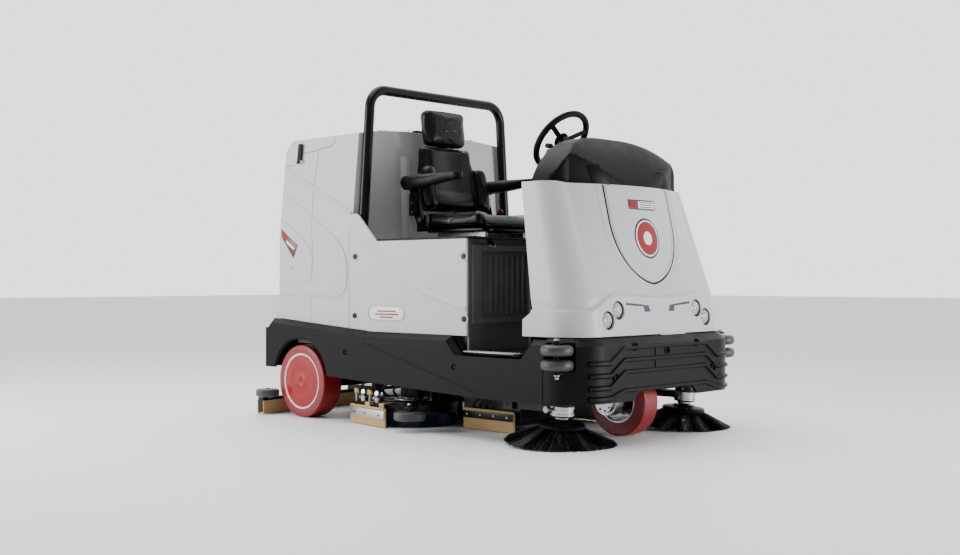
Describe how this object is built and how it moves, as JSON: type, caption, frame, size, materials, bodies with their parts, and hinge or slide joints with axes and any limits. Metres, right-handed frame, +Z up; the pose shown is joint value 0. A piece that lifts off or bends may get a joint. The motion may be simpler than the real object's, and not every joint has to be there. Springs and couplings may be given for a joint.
{
  "type": "ride-on scrubber",
  "caption": "Ride-on floor scrubber with a white tank body, black skirts and bumper, red wheels, side brushes, rear squeegee, vinyl seat and guard hoop.",
  "frame": {"origin": "On the floor, under the middle of the machine's bounding box.", "axes": "+X points forward, the way the machine drives; +Y to the driver's left; +Z up. The squeegee is at -X."},
  "size_m": [2.3757, 1.5114, 1.815],
  "materials": {
    "body_white": "satin",
    "trim_black": "fine grained",
    "hood_black": "soft matte",
    "frame_paint": "satin powder coat",
    "fitting_steel": "zinc plated",
    "motor_alloy": "cast, machined",
    "wheel_red": "moulded polyurethane",
    "seat_vinyl": "grained vinyl",
    "blade_tan": "matte",
    "roller_grey": "matte",
    "bristle_blue": "fibre",
    "bristle_black": "fibre",
    "lamp_lens": "clear, polished",
    "battery_case": "plain",
    "tank_natural": "plain",
    "stop_red": "gloss"
  },
  "bodies": {
    "chassis": {"main_frame": "frame_paint", "skirt_right": "trim_black", "skirt_left": "trim_black", "front_bumper": "trim_black", "rear_bumper": "trim_black", "recovery_tank": "body_white", "solution_tank": "tank_natural", "side_panel_right": "body_white", "side_panel_left": "body_white", "panel_fasteners": "fitting_steel", "guard_hoop": "frame_paint", "seat_deck": "trim_black", "battery_pack": "battery_case", "kick_panel": "trim_black", "floor_pan": "frame_paint", "front_cowl": "body_white", "dash_hood": "hood_black", "dash_console": "trim_black", "headlights": "lamp_lens", "steering_column": "trim_black", "vacuum_motor": "motor_alloy", "seat_rails": "fitting_steel", "sweeper_housing": "frame_paint", "sweeper_flaps": "blade_tan"},
    "lid": {"tank_lid": "body_white"},
    "latch": {"lid_latch": "trim_black"},
    "steering": {"steering_wheel": "hood_black"},
    "stalk": {"direction_stalk": "hood_black"},
    "accelerator": {"accelerator_pedal": "frame_paint"},
    "brake": {"brake_pedal": "frame_paint"},
    "stop": {"stop_button": "stop_red"},
    "seat": {"seat_cushion": "seat_vinyl"},
    "backrest": {"seat_backrest": "seat_vinyl"},
    "headrest_body": {"headrest": "seat_vinyl"},
    "armrest_right_body": {"armrest_right": "seat_vinyl"},
    "armrest_left_body": {"armrest_left": "seat_vinyl"},
    "fork": {"drive_fork": "frame_paint", "drive_motor": "motor_alloy"},
    "drive_wheel_body": {"drive_wheel": "wheel_red"},
    "rear_wheel_right_body": {"rear_wheel_right": "wheel_red"},
    "rear_wheel_left_body": {"rear_wheel_left": "wheel_red"},
    "deck": {"brush_deck": "frame_paint", "deck_blades": "blade_tan", "brush_motors": "frame_paint"},
    "disc_right": {"disc_brush_right": "bristle_blue"},
    "disc_left": {"disc_brush_left": "bristle_blue"},
    "disc_centre": {"disc_brush_centre": "bristle_blue"},
    "deck_roller_right_body": {"deck_roller_right": "roller_grey"},
    "deck_roller_left_body": {"deck_roller_left": "roller_grey"},
    "side_arm_right_body": {"side_arm_right": "frame_paint"},
    "side_arm_left_body": {"side_arm_left": "frame_paint"},
    "side_brush_right_body": {"side_brush_right": "bristle_black"},
    "side_brush_left_body": {"side_brush_left": "bristle_black"},
    "broom_body": {"broom": "bristle_black"},
    "squeegee": {"squeegee_frame": "frame_paint", "squeegee_blades": "blade_tan"},
    "squeegee_roller_right_body": {"squeegee_roller_right": "roller_grey"},
    "squeegee_roller_left_body": {"squeegee_roller_left": "roller_grey"},
    "corner_rollers_right_body": {"corner_rollers_right": "roller_grey"},
    "corner_rollers_left_body": {"corner_rollers_left": "roller_grey"}
  },
  "joints": [
    {"name": "rear_wheel_right_spin", "type": "hinge", "parent": "chassis", "child": "rear_wheel_right_body", "pos_m": [-0.835, -0.5725, 0.2], "axis": [0, 1, 0], "continuous": true},
    {"name": "rear_wheel_left_spin", "type": "hinge", "parent": "chassis", "child": "rear_wheel_left_body", "pos_m": [-0.835, 0.5725, 0.2], "axis": [0, 1, 0], "continuous": true},
    {"name": "steering_turn", "type": "hinge", "parent": "chassis", "child": "steering", "pos_m": [0.511, 0, 1.48], "axis": [-0.788, 0, 0.6157], "range_deg": [-270, 270]},
    {"name": "drive_steer", "type": "hinge", "parent": "chassis", "child": "fork", "pos_m": [0.91, 0, 0.41], "axis": [0, 0, 1], "range_deg": [-60, 60]},
    {"name": "drive_spin", "type": "hinge", "parent": "fork", "child": "drive_wheel_body", "pos_m": [0.91, 0, 0.17], "axis": [0, 1, 0], "continuous": true},
    {"name": "stalk_swing", "type": "hinge", "parent": "chassis", "child": "stalk", "pos_m": [0.56931, -0.043, 1.43444], "axis": [-0.788, 0, 0.6157], "range_deg": [-12, 12]},
    {"name": "accelerator_press", "type": "hinge", "parent": "chassis", "child": "accelerator", "pos_m": [0.6, -0.12, 0.428], "axis": [0, 1, 0], "range_deg": [0, 20], "stiffness_Nm_per_rad": 8, "springref_deg": -6.88},
    {"name": "brake_press", "type": "hinge", "parent": "chassis", "child": "brake", "pos_m": [0.6, 0.12, 0.428], "axis": [0, 1, 0], "range_deg": [0, 20], "stiffness_Nm_per_rad": 10, "springref_deg": -6.88},
    {"name": "stop_press", "type": "slide", "parent": "chassis", "child": "stop", "axis": [0.8309, 0, -0.5564], "range_m": [0, 0.004], "stiffness_N_per_m": 900, "springref_m": -0.003},
    {"name": "seat_slide", "type": "slide", "parent": "chassis", "child": "seat", "axis": [1, 0, 0], "range_m": [-0.03, 0.12]},
    {"name": "backrest_recline", "type": "hinge", "parent": "seat", "child": "backrest", "pos_m": [-0.255, 0, 1.085], "axis": [0, -1, 0], "range_deg": [-25, 3]},
    {"name": "headrest_raise", "type": "slide", "parent": "backrest", "child": "headrest_body", "axis": [0, 0, 1], "range_m": [0, 0.04]},
    {"name": "armrest_right_lift", "type": "hinge", "parent": "backrest", "child": "armrest_right_body", "pos_m": [-0.325, -0.306, 1.286], "axis": [0, -1, 0], "range_deg": [0, 90]},
    {"name": "armrest_left_lift", "type": "hinge", "parent": "backrest", "child": "armrest_left_body", "pos_m": [-0.325, 0.306, 1.286], "axis": [0, -1, 0], "range_deg": [0, 90]},
    {"name": "lid_open", "type": "hinge", "parent": "chassis", "child": "lid", "pos_m": [-0.6335, 0, 1.6], "axis": [0, 1, 0], "range_deg": [0, 75]},
    {"name": "latch_open", "type": "hinge", "parent": "chassis", "child": "latch", "pos_m": [-0.924, -0.58033, 1.422], "axis": [1, 0, 0], "range_deg": [0, 100]},
    {"name": "deck_lift", "type": "slide", "parent": "chassis", "child": "deck", "axis": [0, 0, 1], "range_m": [0, 0.05]},
    {"name": "disc_right_spin", "type": "hinge", "parent": "deck", "child": "disc_right", "pos_m": [-0.208, -0.37026, 0.08], "axis": [0, 0, 1], "continuous": true},
    {"name": "disc_left_spin", "type": "hinge", "parent": "deck", "child": "disc_left", "pos_m": [-0.208, 0.37026, 0.08], "axis": [0, 0, 1], "continuous": true},
    {"name": "disc_centre_spin", "type": "hinge", "parent": "deck", "child": "disc_centre", "pos_m": [-0.54438, 0, 0.08], "axis": [0, 0, 1], "continuous": true},
    {"name": "deck_roller_right_spin", "type": "hinge", "parent": "deck", "child": "deck_roller_right_body", "pos_m": [0.072, -0.65526, 0.08], "axis": [0, 0, 1], "continuous": true},
    {"name": "deck_roller_left_spin", "type": "hinge", "parent": "deck", "child": "deck_roller_left_body", "pos_m": [0.072, 0.65526, 0.08], "axis": [0, 0, 1], "continuous": true},
    {"name": "side_arm_right_lift", "type": "hinge", "parent": "chassis", "child": "side_arm_right_body", "pos_m": [0.62, -0.487, 0.168], "axis": [0, -1, 0], "range_deg": [0, 12]},
    {"name": "side_arm_left_lift", "type": "hinge", "parent": "chassis", "child": "side_arm_left_body", "pos_m": [0.62, 0.487, 0.168], "axis": [0, -1, 0], "range_deg": [0, 12]},
    {"name": "side_brush_right_spin", "type": "hinge", "parent": "side_arm_right_body", "child": "side_brush_right_body", "pos_m": [0.918, -0.487, 0], "axis": [0.0868, -0.0261, 0.9959], "continuous": true},
    {"name": "side_brush_left_spin", "type": "hinge", "parent": "side_arm_left_body", "child": "side_brush_left_body", "pos_m": [0.918, 0.487, 0], "axis": [0.0868, 0.0261, 0.9959], "continuous": true},
    {"name": "broom_spin", "type": "hinge", "parent": "chassis", "child": "broom_body", "pos_m": [0.35, 0, 0.112], "axis": [0, 1, 0], "continuous": true},
    {"name": "squeegee_lift", "type": "hinge", "parent": "chassis", "child": "squeegee", "pos_m": [-0.92, 0, 0.205], "axis": [0, 1, 0], "range_deg": [0, 14]},
    {"name": "squeegee_roller_right_spin", "type": "hinge", "parent": "squeegee", "child": "squeegee_roller_right_body", "pos_m": [-1.097, -0.672, 0.122], "axis": [0, 0, 1], "continuous": true},
    {"name": "squeegee_roller_left_spin", "type": "hinge", "parent": "squeegee", "child": "squeegee_roller_left_body", "pos_m": [-1.097, 0.672, 0.122], "axis": [0, 0, 1], "continuous": true},
    {"name": "corner_rollers_right_spin", "type": "hinge", "parent": "chassis", "child": "corner_rollers_right_body", "pos_m": [1.04, -0.657, 0.415], "axis": [0, 0, 1], "continuous": true},
    {"name": "corner_rollers_left_spin", "type": "hinge", "parent": "chassis", "child": "corner_rollers_left_body", "pos_m": [1.04, 0.657, 0.415], "axis": [0, 0, 1], "continuous": true}
  ],
  "couplings": [
    {"joint": "drive_steer", "follows": "steering_turn", "ratio": 0.2222}
  ]
}
